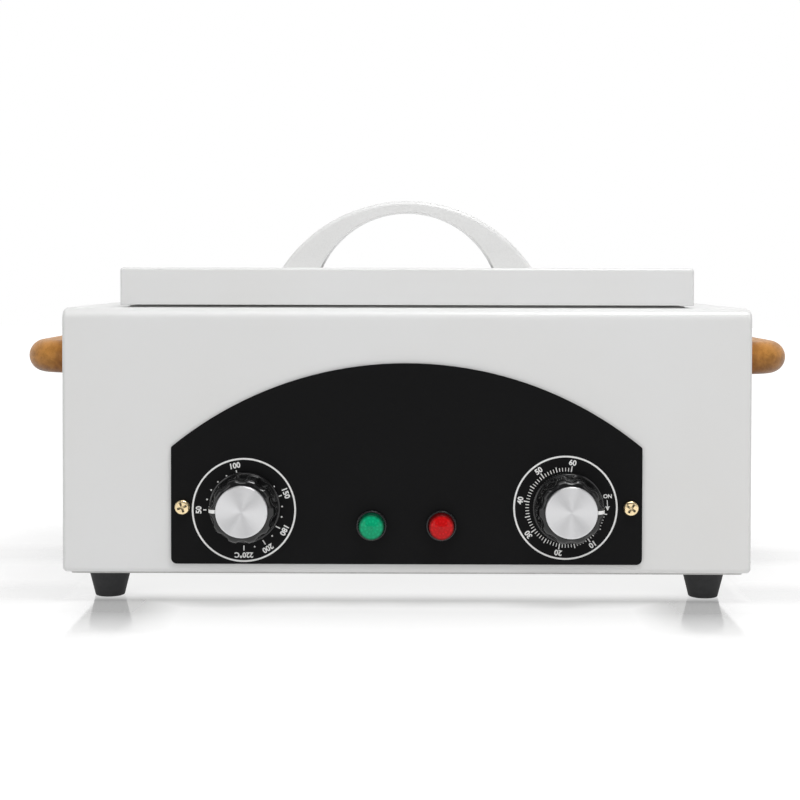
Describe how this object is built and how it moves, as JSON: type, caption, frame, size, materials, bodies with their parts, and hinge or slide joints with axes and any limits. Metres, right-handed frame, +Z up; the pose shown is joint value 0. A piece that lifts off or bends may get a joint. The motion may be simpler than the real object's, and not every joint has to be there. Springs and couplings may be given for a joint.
{
  "type": "dry heat sterilizer",
  "caption": "Bench-top dry heat sterilizer: white box on rubber feet, arched control panel with two dials and lamps, hinged lid with arched handle over a tray.",
  "frame": {"origin": "on the surface it stands on, under the middle of its overall box", "axes": "+Z up, the control panel faces -Y, +X to the right of someone facing the panel"},
  "size_m": [0.4174, 0.2064, 0.2111],
  "materials": {
    "white_enamel": "smooth white baked enamel",
    "panel_black": "fine satin black",
    "grip_black": "glossy black bakelite",
    "spun_aluminium": "spun, fine circular lines",
    "pointer_white": "white inlay",
    "arch_white": "smooth white moulding",
    "lens_green": "translucent green",
    "lens_red": "translucent red",
    "bezel_black": "gloss black",
    "side_wood": "varnished turned wood",
    "foot_rubber": "matt black rubber",
    "brass_yellow": "yellow passivated",
    "zinc_steel": "bright zinc plate",
    "stainless": "brushed stainless",
    "silicone_grey": "grey silicone",
    "glass_wool": "fibre mat",
    "moulded_cream": "cream phenolic",
    "moulded_black": "black moulding",
    "copper_tube": "drawn copper",
    "wire_cover": "silicone cover",
    "bulb_glass": "clear neon bulb"
  },
  "bodies": {
    "housing": {"base_plate": "zinc_steel", "base_screws": "zinc_steel", "control_nuts": "zinc_steel", "control_panel": "panel_black", "feet": "foot_rubber", "floor_insulation": "glass_wool", "foot_nuts": "zinc_steel", "foot_screws": "zinc_steel", "green_lamp_bezel": "bezel_black", "green_lamp_body": "moulded_black", "green_lamp_lens": "lens_green", "heater_clips": "zinc_steel", "heater_pan": "stainless", "heating_element": "stainless", "hinge_base_screws": "zinc_steel", "hinge_bases": "stainless", "hinge_pins": "stainless", "housing_shell": "white_enamel", "inlet_pins": "zinc_steel", "inlet_screws": "zinc_steel", "inner_chamber": "stainless", "lamp_bulbs": "bulb_glass", "lamp_nuts": "zinc_steel", "left_side_handle": "side_wood", "pan_nuts": "zinc_steel", "panel_screws": "brass_yellow", "power_inlet": "bezel_black", "red_lamp_bezel": "bezel_black", "red_lamp_body": "moulded_black", "red_lamp_lens": "lens_red", "right_side_handle": "side_wood", "side_handle_screws": "zinc_steel", "side_insulation": "glass_wool", "terminal_block": "moulded_cream", "terminal_screws": "zinc_steel", "thermostat_body": "moulded_black", "thermostat_capillary": "copper_tube", "timer_body": "moulded_black", "wiring": "wire_cover"},
    "lid": {"lid_shell": "white_enamel", "lid_liner": "stainless", "lid_liner_screws": "zinc_steel", "lid_gasket": "silicone_grey", "lid_insulation": "glass_wool", "lid_handle": "arch_white", "lid_handle_screws": "zinc_steel", "hinge_leaves": "stainless", "hinge_leaf_screws": "zinc_steel"},
    "thermostat_dial": {"thermostat_knob": "grip_black", "thermostat_cap": "spun_aluminium", "thermostat_pointer": "pointer_white", "thermostat_shaft": "zinc_steel"},
    "timer_dial": {"timer_knob": "grip_black", "timer_cap": "spun_aluminium", "timer_pointer": "pointer_white", "timer_shaft": "zinc_steel"},
    "lift_out_tray": {"tray": "stainless", "tray_handles": "stainless"}
  },
  "joints": [
    {"name": "lid_hinge", "type": "hinge", "parent": "housing", "child": "lid", "pos_m": [0, 0.08625, 0.1559], "axis": [-1, 0, 0], "range_deg": [0, 105]},
    {"name": "thermostat_turn", "type": "hinge", "parent": "housing", "child": "thermostat_dial", "pos_m": [-0.083, -0.08375, 0.0502], "axis": [0, 1, 0], "range_deg": [0, 270]},
    {"name": "timer_turn", "type": "hinge", "parent": "housing", "child": "timer_dial", "pos_m": [0.083, -0.08375, 0.0502], "axis": [0, 1, 0], "range_deg": [-20, 279]},
    {"name": "tray_lift", "type": "slide", "parent": "housing", "child": "lift_out_tray", "axis": [0, 0, 1], "range_m": [0, 0.008]}
  ]
}
